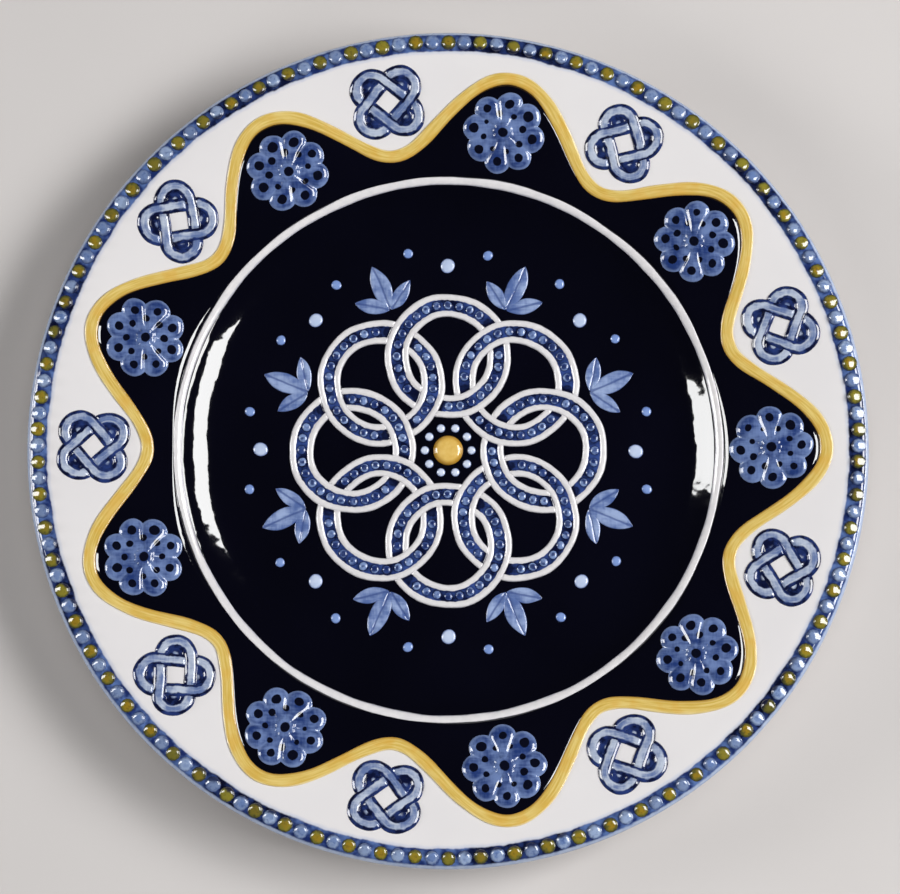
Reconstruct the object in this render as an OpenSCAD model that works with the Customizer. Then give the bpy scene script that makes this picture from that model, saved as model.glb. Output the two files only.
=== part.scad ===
// Glazed earthenware salad plate with low relief: a beaded edge, a wavy ribbon border with a flower or a
// knot in each bay, and a medallion of interlaced rings in the well. Sizes are in millimetres, angles in
// degrees. The origin is on the table, under the middle of the plate, and +Z is up.

/* [Plate] */
// Overall diameter
plate_d = 210; // [200:1:220]
// Thickness of the clay wall
wall_t = 4.5; // [3.5:0.1:5.5]
// Radius of the flat floor of the well
floor_r = 54; // [51:0.5:57]
// Radius of the cove between the floor and the wall of the well
cove_rad = 20; // [16:0.5:24]
// Steepest slope of the wall of the well
wall_slope = 36; // [32:1:40]
// Radius of the shoulder between the wall of the well and the rim
shoulder_rad = 11; // [8:0.5:14]
// Slope of the rim
rim_slope = 10; // [6:0.5:14]

/* [Foot ring] */
// Height of the foot ring
foot_h = 3.2; // [2:0.1:5]
// Diameter of the foot ring, at the middle of its land
foot_d = 98; // [84:1:102]
// Width of the flat land that stands on the table
foot_land_w = 2.4; // [1.5:0.1:4]
// Radius of the two edges of the land
foot_edge_rad = 0.8; // [0.4:0.1:1.2]
// Width of the foot ring where it joins the plate
foot_root_w = 6; // [4.5:0.1:7]

/* [Navy coats] */
// Thickness of the coats of navy glaze
coat_t = 0.3; // [0.2:0.05:0.5]
// Joint between a coat and the slip lines beside it
coat_gap = 0.1; // [0.05:0.05:0.3]

/* [Slip lines] */
// Width of the line round the well
line_w = 2.2; // [1.6:0.1:3]
// Height of the line round the well
line_h = 0.6; // [0.4:0.05:0.9]
// Width of the wavy ribbon
ribbon_w = 3.2; // [2.4:0.1:4]
// Height of the wavy ribbon
ribbon_h = 0.55; // [0.4:0.05:0.9]
// Number of waves in the ribbon
rim_waves = 9; // [8:1:10]
// Ground left bare between the ribbon's turns and the line or the beads
ribbon_margin = 4.5; // [3.5:0.1:6]

/* [Edge beads] */
// Diameter of a bead
bead_d = 3.6; // [2.8:0.1:3.8]
// Height of a bead
bead_h = 1.1; // [0.7:0.1:1.4]
// Spacing of the beads round the edge
bead_pitch = 4.14; // [3.8:0.02:4.8]
// Lip left bare outside the beads
bead_inset = 1; // [0.6:0.1:1.5]

/* [Rim flowers and knots] */
// Ground between a motif and the lines round its bay
motif_gap = 1.5; // [1:0.1:2.5]
// Petals of a flower
petals = 8; // [7:1:9]
// How far neighbouring petals run into each other, 1 for petals that only touch
petal_overlap = 1.3; // [1.15:0.05:1.5]
// Height of a flower at its middle
flower_h = 1.2; // [0.9:0.1:1.6]
// Height of a flower at its edge
flower_edge_h = 0.6; // [0.4:0.05:0.8]
// Width of the grooves between the petals
groove_w = 0.9; // [0.6:0.1:1.1]
// Diameter of the button in the middle of a flower
button_d = 5; // [4:0.1:6]
// Height of the button above the petals
button_h = 0.3; // [0.2:0.05:0.5]
// Width of each of the two loops of a knot
knot_loop_w = 11; // [10:0.1:12]
// Width of a knot's strap
knot_strap_w = 3.4; // [2.6:0.1:3.6]
// Height of a knot's strap
knot_h = 0.8; // [0.5:0.05:1.1]
// Gap where a strap passes under another, in the knots and in the medallion
weave_gap = 0.1; // [0.05:0.05:0.3]

/* [Well medallion] */
// Overall diameter of the medallion
medallion_d = 80; // [74:0.5:84]
// Interlaced loops in the medallion
loops = 8; // [8:1:8]
// Width of a loop's strap
strap_w = 5.9; // [5.5:0.1:6.8]
// Width of the raised line along each side of the strap
strap_line_w = 1.6; // [1.2:0.1:2]
// Height of those lines
strap_line_h = 0.8; // [0.6:0.05:1.1]
// Height of the channel between the lines
channel_h = 0.35; // [0.2:0.05:0.5]
// Diameter of the pearls in the channel and round the boss
pearl_d = 2.2; // [1.6:0.1:2.2]
// Height of the pearls
pearl_h = 0.45; // [0.3:0.05:0.6]
// Pearls in a whole turn of a loop
loop_pearls = 28; // [20:2:32]
// Diameter of the boss in the middle
boss_d = 7.5; // [6:0.1:8]
// Height of the boss
boss_h = 1.5; // [1:0.1:2]
// Pearls round the boss
boss_pearls = 10; // [8:1:12]
// Ground round the boss and between its pearls and the loops
boss_gap = 1; // [0.7:0.1:1.5]

/* [Well sprigs and dots] */
// Length of the middle leaf of a sprig
leaf_l = 12; // [9:0.5:14]
// Width of the middle leaf
leaf_w = 5; // [4:0.1:6]
// Length of a side leaf
side_leaf_l = 9; // [7:0.5:11]
// Width of a side leaf
side_leaf_w = 3.8; // [3:0.1:4.5]
// Angle between the middle leaf and a side leaf
leaf_spread = 55; // [45:1:70]
// Height of the leaves
leaf_h = 0.4; // [0.3:0.05:0.6]
// Ground between the medallion and a sprig
sprig_gap = 3; // [2:0.1:4]
// Diameter of a large dot
dot_d = 3.6; // [2.8:0.1:4.2]
// Diameter of a small dot
small_dot_d = 2.5; // [2:0.1:3]
// Height of the dots
dot_h = 0.4; // [0.25:0.05:0.5]
// Ground between the small dots and the edge of the floor
dot_margin = 3.2; // [2.5:0.1:5]

/* [Hidden] */
// Facets of small rounds and of large ones, where the model is drawn as a mesh
$fn = 72;
large_fn = 256;
// Steps along one arc of a section
arc_steps = 16;
// How far a cut runs past what it cuts
past = 1;
// Steps along one wave of the ribbon
wave_steps = 24;

// Where the section of the upper surface turns, as [radius, height]. A surface lifted by some amount runs
// that far above the upper surface, square to it, and a negative lift runs inside the wall.
floor_z = foot_h + wall_t;
wall_dir = [sin(wall_slope), -cos(wall_slope)];
rim_normal = [-sin(rim_slope), cos(rim_slope)];
cove_c = [floor_r, floor_z + cove_rad];
shoulder_c = cove_c + (cove_rad + shoulder_rad) * wall_dir;
function cove_end(lift) = cove_c + (cove_rad - lift) * wall_dir;
function shoulder_end(lift) = shoulder_c + (shoulder_rad + lift) * rim_normal;
function rim_z(r, lift = 0) = shoulder_end(lift).y + (r - shoulder_end(lift).x) * tan(rim_slope);
lip_rad = wall_t / 2;
lip_r = plate_d / 2 - lip_rad;
lip_c = [lip_r, rim_z(lip_r, -lip_rad)];
function rim_end(lift) = lip_c + (lip_rad + lift) * rim_normal;

// Points along an arc, after its first point, for directions that turn from straight down towards +x
function arc(middle, rad, from, to) =
    [for (i = [1:arc_steps]) let (a = from + (to - from) * i / arc_steps) middle + rad * [sin(a), -cos(a)]];
// Points along the upper surface, lifted, from the middle of the plate to the end of the rim
function top_points(lift) = concat(
    [[0, floor_z + lift], [floor_r, floor_z + lift]],
    arc(cove_c, cove_rad - lift, 0, wall_slope),
    arc(shoulder_c, -shoulder_rad - lift, wall_slope, rim_slope),
    [rim_end(lift)]
);
function back(points) = [for (i = [len(points) - 1:-1:0]) points[i]];

// Radius of the round whose cap is w wide and h high
function cap_rad(w, h) = (w * w / 4 + h * h) / (2 * h);

// The line round the well lies half way over the shoulder
line_slope = (wall_slope + rim_slope) / 2;
line_normal = [-sin(line_slope), cos(line_slope)];
line_pos = shoulder_c + shoulder_rad * line_normal;
line_half_r = line_w / 2 * cos(line_slope);
line_in_r = line_pos.x - line_half_r;
line_out_r = line_pos.x + line_half_r;

// The beads stand in a circle just inside the lip
bead_circle_r = plate_d / 2 - bead_inset - bead_d / 2;
bead_in_r = bead_circle_r - bead_d / 2;
bead_pairs = round(PI * bead_circle_r / bead_pitch);
function lip_z(r) = r < rim_end(0).x ? rim_z(r) : lip_c.y + sqrt(lip_rad ^ 2 - (r - lip_r) ^ 2);

// The ribbon swings between the line and the beads
wave_mid_r = (line_out_r + bead_in_r) / 2;
wave_swing = (bead_in_r - line_out_r - ribbon_w) / 2 - ribbon_margin;
wave_pitch = 360 / rim_waves;

// A motif fills its bay in depth or in width, whichever is less, with the gap all round
bay_depth = 2 * wave_swing + ribbon_margin;
bay_width = PI * wave_mid_r / rim_waves - ribbon_w;
motif_r = min(bay_depth, bay_width) / 2 - motif_gap;
flower_pos_r = line_out_r + bay_depth / 2;
knot_pos_r = bead_in_r - bay_depth / 2;

// Loops of the medallion, each a ring about its own middle
loop_step = 360 / loops;
hub_r = boss_d / 2 + pearl_d + 2 * boss_gap;
loop_out_r = (medallion_d / 2 - hub_r) / 2;
loop_pos_r = hub_r + loop_out_r;
loop_mid_r = loop_out_r - strap_w / 2;
well_z = floor_z + coat_t;
// Half the distance between neighbouring loops, and where their middles cross
loop_half_gap = loop_pos_r * sin(loop_step / 2);
cross_mid_r = loop_pos_r * cos(loop_step / 2);
cross_reach = sqrt(loop_mid_r ^ 2 - loop_half_gap ^ 2);
// Angle round a loop, from the plate's middle outwards, at which its crossings lie
cross_turn = atan2(cross_reach, loop_half_gap);
cross_out_turn = cross_turn - 90 - loop_step / 2;
cross_in_turn = 90 + loop_step / 2 + cross_turn;
pearl_clear = (strap_w + pearl_d) / 2 / loop_mid_r * 180 / PI;

// Sprigs start past the notch between two loops
notch_r = cross_mid_r + sqrt(loop_out_r ^ 2 - loop_half_gap ^ 2);
sprig_r = notch_r + sprig_gap;
dot_pos_r = (medallion_d / 2 + floor_r) / 2;
small_dot_pos_r = floor_r - dot_margin;

// Section of a layer that follows the upper surface, from one lift to another
module layer(lo, hi) {
    polygon(concat(top_points(hi), back(top_points(lo))));
}

// Section of the clay: the wall and its round lip
module clay_section() {
    lip = arc(lip_c, -lip_rad, rim_slope, rim_slope - 180);
    polygon(concat(top_points(0), lip, back(top_points(-wall_t))));
}

// A skin on the upper surface, t thick, from radius r_in to r_out
module skin(r_in, r_out, t) {
    rotate_extrude($fn = large_fn) intersection() {
        layer(0, t);
        translate([r_in, 0]) square([r_out - r_in, plate_d]);
    }
}

// The ball whose cap is w wide where it stands out of z = edge_h, and reaches up to z = h
module ball(w, h, edge_h = 0) {
    rad = cap_rad(w, h - edge_h);
    translate([0, 0, h - rad]) sphere(rad);
}

// That cap alone
module cap(w, h) {
    intersection() {
        ball(w, h);
        cylinder(h = h + past, r = w);
    }
}

// Places a motif on the rim: x up the slope, y round the plate, z square to the rim
module on_rim(r, turn) {
    rotate(turn) translate([r, 0, rim_z(r)]) rotate([0, -rim_slope, 0]) children();
}

module plate_body() {
    color("#e6e2e2") rotate_extrude($fn = large_fn) clay_section();
}

module foot_ring() {
    land_half = foot_land_w / 2;
    edge_half = land_half + foot_edge_rad;
    root_half = foot_root_w / 2;
    color("#d8cdbf") rotate_extrude($fn = large_fn) translate([foot_d / 2, 0]) {
        translate([-land_half, 0]) square([foot_land_w, foot_edge_rad]);
        for (side = [-1, 1]) translate([side * land_half, foot_edge_rad]) circle(foot_edge_rad);
        polygon([
            [-edge_half, foot_edge_rad],
            [edge_half, foot_edge_rad],
            [root_half, foot_h],
            [-root_half, foot_h]
        ]);
    }
}

module well_coat() {
    color("#0a0a1c") skin(0, line_in_r - coat_gap, coat_t);
}

// Point on the ribbon's middle line at an angle, moved square to the line
function wave_point(turn, side) =
    let (r = wave_mid_r + wave_swing * cos(rim_waves * turn),
        climb = -wave_swing * rim_waves * sin(rim_waves * turn),
        out = [cos(turn), sin(turn)],
        along = [-sin(turn), cos(turn)],
        square_out = r * out - climb * along)
    r * out + side * square_out / norm(square_out);

// Everything inside the ribbon's middle line, moved outwards
module inside_wave(side) {
    steps = rim_waves * wave_steps;
    polygon([for (i = [0:steps - 1]) wave_point(360 * i / steps, side)]);
}

module rim_coat() {
    color("#0a0a1c") intersection() {
        skin(line_out_r + coat_gap, bead_in_r, coat_t);
        linear_extrude(plate_d) inside_wave(-ribbon_w / 2 - coat_gap);
    }
}

module well_line() {
    rad = cap_rad(line_w, line_h);
    middle = line_pos + (line_h - rad) * line_normal;
    color("#e0dddc") rotate_extrude($fn = large_fn) difference() {
        polygon(arc(middle, rad, line_slope + 90, line_slope + 270));
        layer(-wall_t, 0);
    }
}

module rim_ribbon() {
    color("#dcb85c") intersection() {
        skin(line_out_r, bead_in_r, ribbon_h);
        linear_extrude(plate_d) difference() {
            inside_wave(ribbon_w / 2);
            inside_wave(-ribbon_w / 2);
        }
    }
}

// Every second bead of the edge, the first of them at bead number first
module edge_beads(first) {
    difference() {
        for (i = [first:2:2 * bead_pairs - 1])
            rotate(180 * i / bead_pairs)
                translate([bead_circle_r, 0, lip_z(bead_circle_r)]) ball(bead_d, bead_h);
        rotate_extrude($fn = large_fn) clay_section();
    }
}

module flower_outline() {
    petal_share = sin(180 / petals) * petal_overlap;
    petal_pos_r = motif_r / (1 + petal_share);
    circle(petal_pos_r);
    for (i = [0:petals - 1])
        rotate(360 * i / petals) translate([petal_pos_r, 0]) circle(motif_r - petal_pos_r);
}

// The grooves between the petals: square bars set on edge that slope with the petals, from the button out
module petal_grooves() {
    start_r = button_d / 2 + groove_w;
    drop = (flower_h - flower_edge_h) * (start_r / motif_r) ^ 2;
    slope = atan2(flower_h - flower_edge_h - drop, motif_r - start_r);
    side = groove_w / sqrt(2);
    for (i = [0:petals - 1])
        rotate(360 * (i + 0.5) / petals) translate([start_r, 0, coat_t + flower_h - drop])
            rotate([0, slope, 0]) rotate([45, 0, 0])
                translate([0, -side / 2, -side / 2]) cube([motif_r, side, side]);
}

// A flower: petals on a low dome, parted by grooves, round a button
module flower() {
    difference() {
        intersection() {
            translate([0, 0, -past]) linear_extrude(past + 2 * flower_h) flower_outline();
            union() {
                translate([0, 0, coat_t]) ball(2 * motif_r, flower_h, flower_edge_h);
                translate([0, 0, coat_t + flower_h]) ball(button_d, button_h);
            }
        }
        petal_grooves();
    }
}

module rim_flower(i) {
    color("#5d78b0") difference() {
        on_rim(flower_pos_r, wave_pitch * (i - 1)) flower($fn = large_fn);
        rotate_extrude($fn = large_fn) layer(-wall_t, coat_t);
    }
}

// A bar with round ends, to a reach either way along x
module round_bar(reach, w) {
    end_pos = reach - w / 2;
    square([2 * end_pos, w], center = true);
    for (side = [-1, 1]) translate([side * end_pos, 0]) circle(d = w);
}

// Outline of one loop of a knot, open where it passes under the other
module knot_loop() {
    cross_pos = (knot_loop_w - knot_strap_w) / 2;
    difference() {
        round_bar(motif_r, knot_loop_w);
        round_bar(motif_r - knot_strap_w, knot_loop_w - 2 * knot_strap_w);
        for (side = [-1, 1])
            translate(side * [cross_pos, cross_pos]) square(knot_strap_w + 2 * weave_gap, center = true);
    }
}

module rim_knot(i) {
    color("#34508c") intersection() {
        on_rim(knot_pos_r, wave_pitch * (i - 0.5))
            translate([0, 0, -past]) linear_extrude(past + 2 * knot_h)
                for (turn = [-45, 45]) rotate(turn) knot_loop();
        skin(line_out_r, bead_in_r, knot_h);
    }
}

// Section of a loop's strap about its middle: a channel with a raised line along each side
module strap_section() {
    rad = cap_rad(strap_line_w, strap_line_h);
    line_pos = (strap_w - strap_line_w) / 2;
    translate([-line_pos, 0]) square([2 * line_pos, channel_h]);
    for (side = [-1, 1]) intersection() {
        translate([side * line_pos, strap_line_h - rad]) circle(rad);
        translate([side * line_pos - strap_w, 0]) square([2 * strap_w, strap_line_h + past]);
    }
}

// Where a neighbouring loop's strap covers this one, at the crossing at radius r
module crossing(side, r) {
    intersection() {
        rotate(side * loop_step) translate([loop_pos_r, 0]) difference() {
            circle(loop_out_r + weave_gap);
            circle(loop_out_r - strap_w - weave_gap);
        }
        rotate(side * loop_step / 2) translate([r, 0]) circle(strap_w);
    }
}

// How far an angle is from another, going the short way round
function apart(a, b) = abs((a - b + 540) % 360 - 180);

module medallion_loop(i) {
    color("#dfe0e4") rotate(loop_step * (i - 1)) translate([0, 0, well_z]) difference() {
        translate([loop_pos_r, 0, 0]) {
            rotate_extrude() translate([loop_mid_r, 0]) strap_section();
            for (k = [0:loop_pearls - 1]) {
                turn = 360 * k / loop_pearls;
                if (apart(turn, cross_out_turn) > pearl_clear && apart(turn, cross_in_turn) > pearl_clear)
                    rotate(turn) translate([loop_mid_r, 0, channel_h]) cap(pearl_d, pearl_h);
            }
        }
        translate([0, 0, -past]) linear_extrude(3 * past) {
            crossing(1, cross_mid_r - cross_reach);
            crossing(-1, cross_mid_r + cross_reach);
        }
    }
}

module medallion_boss() {
    color("#c9a227") translate([0, 0, well_z]) {
        cap(boss_d, boss_h);
        for (i = [0:boss_pearls - 1])
            rotate(360 * i / boss_pearls)
                translate([boss_d / 2 + boss_gap + pearl_d / 2, 0, 0]) cap(pearl_d, pearl_h);
    }
}

// A leaf along +x from the origin
module leaf(l, w) {
    rad = (l * l + w * w) / (4 * w);
    translate([l / 2, 0]) intersection_for(side = [-1, 1]) translate([0, side * (rad - w / 2)]) circle(rad);
}

module well_sprig(i) {
    color("#7f97c4") rotate(loop_step * (i - 0.5)) translate([sprig_r, 0, well_z]) linear_extrude(leaf_h) {
        leaf(leaf_l, leaf_w);
        for (side = [-1, 1]) rotate(side * leaf_spread) leaf(side_leaf_l, side_leaf_w);
    }
}

// The large dot outside a loop, and a small dot to either side of it
module well_dots(i) {
    color("#b9c8e6") rotate(loop_step * (i - 1)) translate([0, 0, well_z]) {
        translate([dot_pos_r, 0, 0]) cap(dot_d, dot_h, $fn = large_fn);
        for (side = [-1, 1])
            rotate(side * loop_step / 4)
                translate([small_dot_pos_r, 0, 0]) cap(small_dot_d, dot_h, $fn = large_fn);
    }
}

plate_body();
foot_ring();
well_coat();
rim_coat();
well_line();
rim_ribbon();
color("#a9bcdf") edge_beads(0);  // edge_beads_pale
color("#86772a") edge_beads(1);  // edge_beads_ochre
for (i = [1:rim_waves]) rim_flower(i);
for (i = [1:rim_waves]) rim_knot(i);
for (i = [1:loops]) medallion_loop(i);
medallion_boss();
for (i = [1:loops]) well_sprig(i);
for (i = [1:loops]) well_dots(i);
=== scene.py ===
# %% [markdown]
# A salad plate of glazed earthenware, seen from above. Its clay shell carries slip in low relief, and colours
# are brushed on before the last firing. This lesson turns the shell on a lathe, lays the relief on it piece
# by piece and mixes a glaze for each colour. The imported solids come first: they fix every size and place, and
# the new pieces are drawn over them.

# %% Load the solids
from math import atan2, cos, exp, hypot, pi, radians, sin, sqrt, tan

import bpy
from mathutils import Matrix, Vector


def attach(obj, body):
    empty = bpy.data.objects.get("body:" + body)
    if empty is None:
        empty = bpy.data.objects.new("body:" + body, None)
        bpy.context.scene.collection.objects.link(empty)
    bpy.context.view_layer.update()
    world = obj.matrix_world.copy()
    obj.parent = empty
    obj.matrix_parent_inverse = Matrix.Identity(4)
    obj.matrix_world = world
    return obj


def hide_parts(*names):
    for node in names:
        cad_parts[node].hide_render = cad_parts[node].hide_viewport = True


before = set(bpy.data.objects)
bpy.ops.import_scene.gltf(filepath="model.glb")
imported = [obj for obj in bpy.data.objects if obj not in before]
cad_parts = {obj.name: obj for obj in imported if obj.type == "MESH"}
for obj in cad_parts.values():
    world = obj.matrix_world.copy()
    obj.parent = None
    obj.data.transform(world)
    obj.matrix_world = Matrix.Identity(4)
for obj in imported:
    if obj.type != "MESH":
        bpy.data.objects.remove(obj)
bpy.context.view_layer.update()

# %% [markdown]
# The section is a flat floor, a hollow cove, a steep wall, a round shoulder, a nearly flat rim and a round
# lip. A mesh could be measured, but one function for the height at any radius is exact, and all that lies on
# the plate asks it how high to sit. Sizes are written in millimetres and kept in metres.

# %% Sizes of the plate's section
MM = 0.001
plate_r = 105 * MM
wall_t = 4.5 * MM
floor_r = 54 * MM
cove_rad = 20 * MM
wall_slope = radians(36)
shoulder_rad = 11 * MM
rim_slope = radians(10)
foot_h = 3.2 * MM
coat_t = 0.3 * MM
bead_half = 1.8 * MM
bead_margin = 1 * MM
bead_circle_r = plate_r - bead_margin - bead_half
bead_in_r = bead_circle_r - bead_half
waves = 9


def at(r, z):
    """A point of the section, r out from the middle and z up from the table."""
    return Vector((r, 0, z))


floor_z = foot_h + wall_t
well_z = floor_z + coat_t
wall_dir = at(sin(wall_slope), -cos(wall_slope))
rim_normal = at(-sin(rim_slope), cos(rim_slope))
cove_c = at(floor_r, floor_z + cove_rad)
shoulder_c = cove_c + (cove_rad + shoulder_rad) * wall_dir
lip_rad = wall_t / 2


def rim_z(r, lift=0.0):
    """Height of the rim's even slope at radius r, lifted square to itself."""
    start = shoulder_c + (shoulder_rad + lift) * rim_normal
    return start.z + (r - start.x) * tan(rim_slope)


lip_c = at(plate_r - lip_rad, rim_z(plate_r - lip_rad, -lip_rad))


def top_z(r, lift=0.0):
    """Height of the plate's upper side at radius r, lifted square to itself."""
    if r <= floor_r:
        return floor_z + lift
    if r <= (cove_c + (cove_rad - lift) * wall_dir).x:
        return cove_c.z - sqrt((cove_rad - lift) ** 2 - (r - cove_c.x) ** 2)
    if r <= (shoulder_c + (shoulder_rad + lift) * rim_normal).x:
        return shoulder_c.z + sqrt((shoulder_rad + lift) ** 2 - (r - shoulder_c.x) ** 2)
    if r <= (lip_c + (lip_rad + lift) * rim_normal).x:
        return rim_z(r, lift)
    return lip_c.z + sqrt(max(0, (lip_rad + lift) ** 2 - (r - lip_c.x) ** 2))


print(f"floor {floor_z / MM:.1f} mm high, rim {top_z(bead_circle_r) / MM:.1f} mm high under the beads")

# %% [markdown]
# Every piece is modelled as by hand: add a primitive, go into edit mode, extrude, spin or poke it, and come
# back. An operator works on all that is selected, so each helper starts by selecting nothing. A section for
# the lathe is traced by extruding one vertex again and again.

# %% Helpers for edit mode
merge_gap = 0.002 * MM


def select_nothing():
    if bpy.context.mode != "OBJECT":
        bpy.ops.object.mode_set(mode="OBJECT")
    bpy.ops.object.select_all(action="DESELECT")


def only(piece):
    select_nothing()
    piece.select_set(True)
    bpy.context.view_layer.objects.active = piece


def settle(piece):
    """Works a piece's shift and turn into its mesh."""
    only(piece)
    bpy.ops.object.transform_apply(location=True, rotation=True, scale=True)


def added(name):
    """Names the object that was just added, and its mesh."""
    piece = bpy.context.active_object
    piece.name = name
    piece.data.name = name
    return piece


def extrude(by):
    bpy.ops.mesh.extrude_region_move(TRANSFORM_OT_translate={"value": by})


def draw_chain(name, points, closed=False):
    """Draws edges from point to point, and stays in edit mode with all selected."""
    select_nothing()
    bpy.ops.mesh.primitive_plane_add(size=MM)
    piece = added(name)
    bpy.ops.object.mode_set(mode="EDIT")
    bpy.ops.mesh.merge(type="CENTER")
    bpy.ops.transform.translate(value=points[0])
    stops = points[1:] + points[:1] if closed else points[1:]
    for here, there in zip(points, stops):
        extrude(there - here)
    bpy.ops.mesh.select_all(action="SELECT")
    bpy.ops.mesh.remove_doubles(threshold=merge_gap)
    return piece


def close_up():
    """Merges what meets, turns the faces outwards, and leaves edit mode with soft shading."""
    bpy.ops.mesh.select_all(action="SELECT")
    bpy.ops.mesh.remove_doubles(threshold=merge_gap)
    bpy.ops.mesh.normals_make_consistent(inside=False)
    bpy.ops.object.mode_set(mode="OBJECT")
    bpy.ops.object.shade_smooth()


def lathe(name, points, steps, closed=False, centre=(0, 0, 0)):
    piece = draw_chain(name, points, closed)
    bpy.ops.mesh.spin(steps=steps, angle=2 * pi, center=centre, axis=(0, 0, 1))
    close_up()
    print(f"{name}: {len(points)} points spun in {steps} steps")
    return piece


# %% [markdown]
# Slip and brush are guided by hand, so no line is quite even. Random shifts would be jagged, so a sum of
# waves makes a smooth waver that is the same each time. A rule moves points, as proportional editing would by
# eye, and a number can be stored at each point for the glaze to read.

# %% Helpers for the hand-made look
ripples = [(1.0, 5, 1.0), (0.7, 11, 2.3), (0.5, 23, 4.1)]
drift_x = [(0.20, 0.16, 0.11), (0.10, -0.21, 0.55), (0.02, 0.9, 1.7)]
drift_y = [(0.20, -0.17, 0.13), (0.10, 0.49, 0.26), (0.02, 1.6, -1.1)]


def waver(turn, phase):
    """Runs smoothly between about -1 and 1 as turn goes once round."""
    total = sum(size * sin(count * turn + shift * phase) for size, count, shift in ripples)
    return total / sum(ripple[0] for ripple in ripples)


def ease(x, start, end):
    """Climbs from 0 to 1 as x goes from start to end, gently at both ends."""
    t = min(1, max(0, (x - start) / (end - start)))
    return t * t * (3 - 2 * t)


def move_points(piece, rule):
    for point in piece.data.vertices:
        point.co = rule(*point.co)


def by_hand(x, y, z):
    """Shifts a point by a fraction of a millimetre, differently from place to place."""
    u, v = x / MM, y / MM
    dx, dy = [sum(size * sin(a * u + b * v) for size, a, b in drift) for drift in (drift_x, drift_y)]
    return Vector((x + dx * MM, y + dy * MM, z))


def mark(piece, name, rule):
    layer = piece.data.attributes.new(name, "FLOAT", "POINT")
    for point, store in zip(piece.data.vertices, layer.data):
        store.value = rule(*point.co)


def mark_flat(piece):
    """Stores where each point is before the piece is laid on the plate, in millimetres."""
    layer = piece.data.attributes.new("flat", "FLOAT_VECTOR", "POINT")
    for point, store in zip(piece.data.vertices, layer.data):
        store.vector = point.co / MM


def copy_turned(piece, name, turn):
    """A copy with its own mesh, turned round the middle of the plate."""
    only(piece)
    bpy.ops.object.duplicate(linked=False)
    twin = added(name)
    twin.rotation_euler.z = turn
    settle(twin)
    return twin


def join(pieces):
    only(pieces[0])
    for piece in pieces[1:]:
        piece.select_set(True)
    bpy.ops.object.join()
    print(f"{pieces[0].name}: {len(pieces)} pieces joined")
    return pieces[0]


# %% [markdown]
# Glazes are mixed from nodes. Links made one by one are slow to read back, so one class wraps a socket and
# sums are written as sums, and one method of a second class makes any other node.

# %% A class for mixing glazes
class Value:
    """A socket in a glaze. Arithmetic on it adds Math nodes."""

    def __init__(self, glaze, socket):
        self.glaze = glaze
        self.socket = socket

    def __add__(self, other):
        return self.glaze.math("ADD", self, other)

    def __sub__(self, other):
        return self.glaze.math("SUBTRACT", self, other)

    def __rsub__(self, other):
        return self.glaze.math("SUBTRACT", other, self)

    def __mul__(self, other):
        return self.glaze.math("MULTIPLY", self, other)

    def __truediv__(self, other):
        return self.glaze.math("DIVIDE", self, other)

    def __rtruediv__(self, other):
        return self.glaze.math("DIVIDE", other, self)

    def __pow__(self, other):
        return self.glaze.math("POWER", self, other)

    __radd__ = __add__
    __rmul__ = __mul__


class Glaze:
    """A material and its nodes. Its spot is where a point is on the plate, in millimetres."""

    def __init__(self, name, roughness=0.08, ior=1.75):
        self.material = bpy.data.materials.new(name)
        self.material.use_nodes = True
        self.tree = self.material.node_tree
        self.shader = self.tree.nodes["Principled BSDF"]
        self.shader.inputs["Roughness"].default_value = roughness
        self.shader.inputs["IOR"].default_value = ior
        plate = self.node("ShaderNodeTexCoord", output="Object")
        self.spot = self.node("ShaderNodeVectorMath", {"operation": "SCALE"}, {0: plate, "Scale": 1 / MM})

    def node(self, kind, settings=None, sockets=None, output=0):
        """Makes any node, from its settings and what goes into its sockets."""
        made = self.tree.nodes.new(kind)
        for key, value in (settings or {}).items():
            setattr(made, key, value)
        for key, value in (sockets or {}).items():
            self.feed(made.inputs[key], value)
        return Value(self, made.outputs[output])

    def feed(self, socket, value):
        """Links a value to a socket, or writes a plain number or colour on it."""
        if isinstance(value, Value):
            self.tree.links.new(value.socket, socket)
        else:
            socket.default_value = value

    def math(self, operation, *values):
        return self.node("ShaderNodeMath", {"operation": operation}, dict(enumerate(values)))

    def soft(self, value, start, end):
        """Climbs smoothly from 0 to 1 as a value goes from start to end."""
        settings = {"interpolation_type": "SMOOTHSTEP"}
        return self.node("ShaderNodeMapRange", settings, {"Value": value, "From Min": start, "From Max": end})

    def mix(self, share, under, over):
        """Two colours, the second brushed over the first by a share."""
        settings = {"data_type": "RGBA"}
        return self.node("ShaderNodeMix", settings, {0: share, 6: under, 7: over}, 2)

    def stored(self, name, output="Fac"):
        """What was stored at a point under a name: a number, or with output "Vector" a place."""
        return self.node("ShaderNodeAttribute", {"attribute_name": name}, output=output)

    def parts(self, vector):
        split = self.node("ShaderNodeSeparateXYZ", sockets={0: vector})
        return [Value(self, socket) for socket in split.socket.node.outputs]

    def stretch(self, *by):
        """The spot, multiplied along x, y and z."""
        return self.node("ShaderNodeVectorMath", {"operation": "MULTIPLY"}, {0: self.spot, 1: by})

    def noise(self, size, detail=2.0, vector=None):
        """Cloudy numbers round 0.5, with clouds about so many millimetres wide."""
        sockets = {"Vector": vector or self.spot, "Scale": 1 / size, "Detail": detail}
        return self.node("ShaderNodeTexNoise", sockets=sockets)

    def finish(self, colour, *heights):
        """Colours the shader, and lets it swell by heights given in millimetres."""
        self.feed(self.shader.inputs["Base Color"], colour)
        if heights:
            bump = self.node("ShaderNodeBump", sockets={"Distance": MM, "Height": sum(heights)})
            self.feed(self.shader.inputs["Normal"], bump)
        return self.material
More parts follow.
